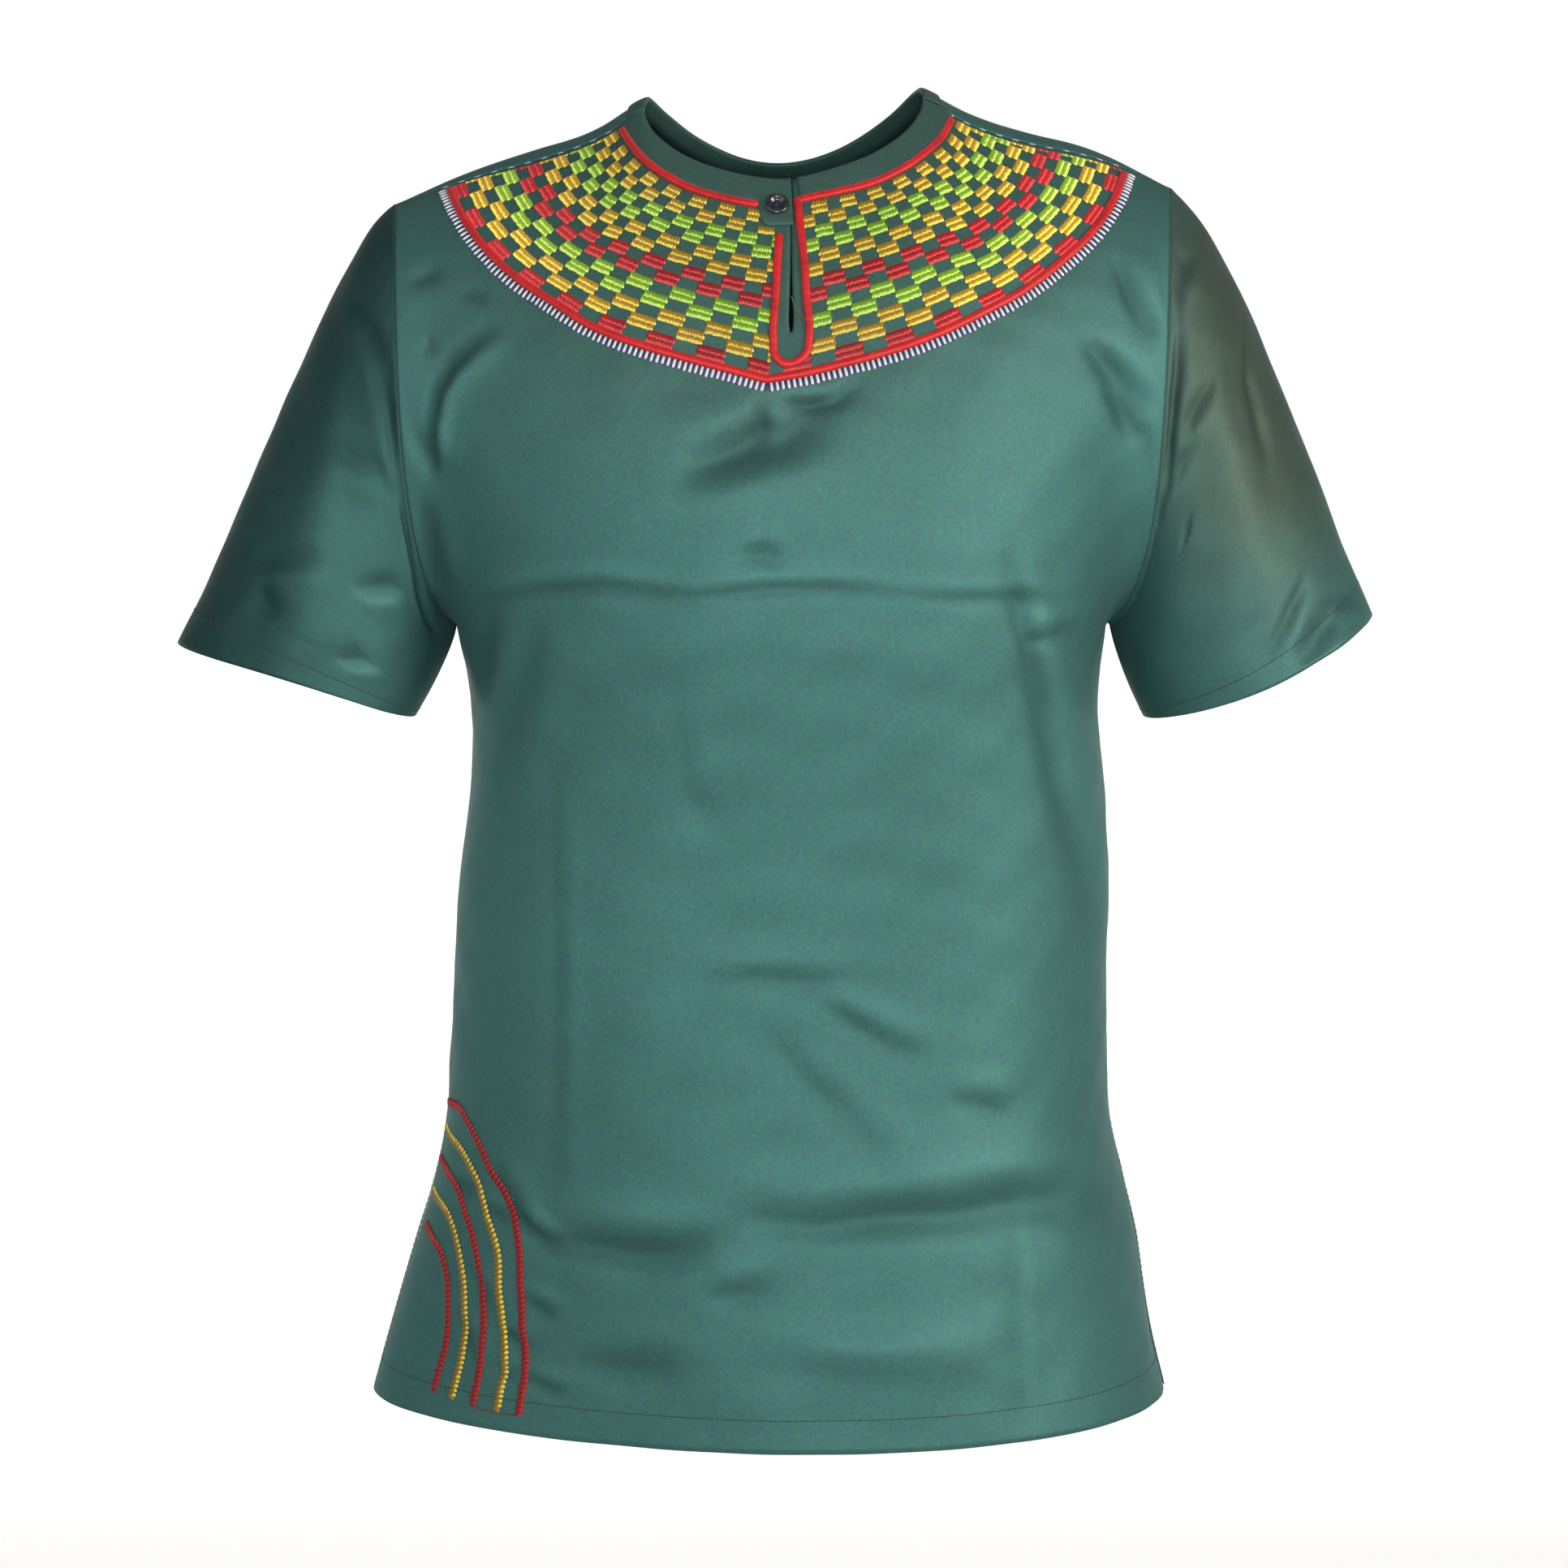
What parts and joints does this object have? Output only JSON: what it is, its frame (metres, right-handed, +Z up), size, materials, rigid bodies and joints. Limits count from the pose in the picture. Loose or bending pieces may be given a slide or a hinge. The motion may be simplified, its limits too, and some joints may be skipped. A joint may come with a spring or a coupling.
{
  "type": "dashiki shirt",
  "caption": "Hollow worn short-sleeved cotton tunic shirt with a round neck, a slit closed by a button tab, a corded yoke and open side vents",
  "frame": {"origin": "middle of the neck opening at shoulder height, where a wearer's shoulders hold the shirt up", "axes": "+Z up towards the neck, +X towards the wearer's left sleeve, +Y towards the wearer's back, so the front faces -Y"},
  "size_m": [0.6582, 0.2389, 0.7273],
  "materials": {
    "green_cotton": "soft satin-faced cotton",
    "red_satin": "satin",
    "black_button": "gloss"
  },
  "bodies": {
    "root": {"front_panel": "green_cotton", "back_panel": "green_cotton", "sleeve_right": "green_cotton", "sleeve_left": "green_cotton", "neck_band_right": "green_cotton", "neck_band_left": "green_cotton", "neck_band_back": "green_cotton", "neck_cord_right": "red_satin", "neck_cord_left": "red_satin", "keyhole_cord": "red_satin", "yoke_border_cord": "red_satin", "button": "black_button"}
  },
  "joints": []
}
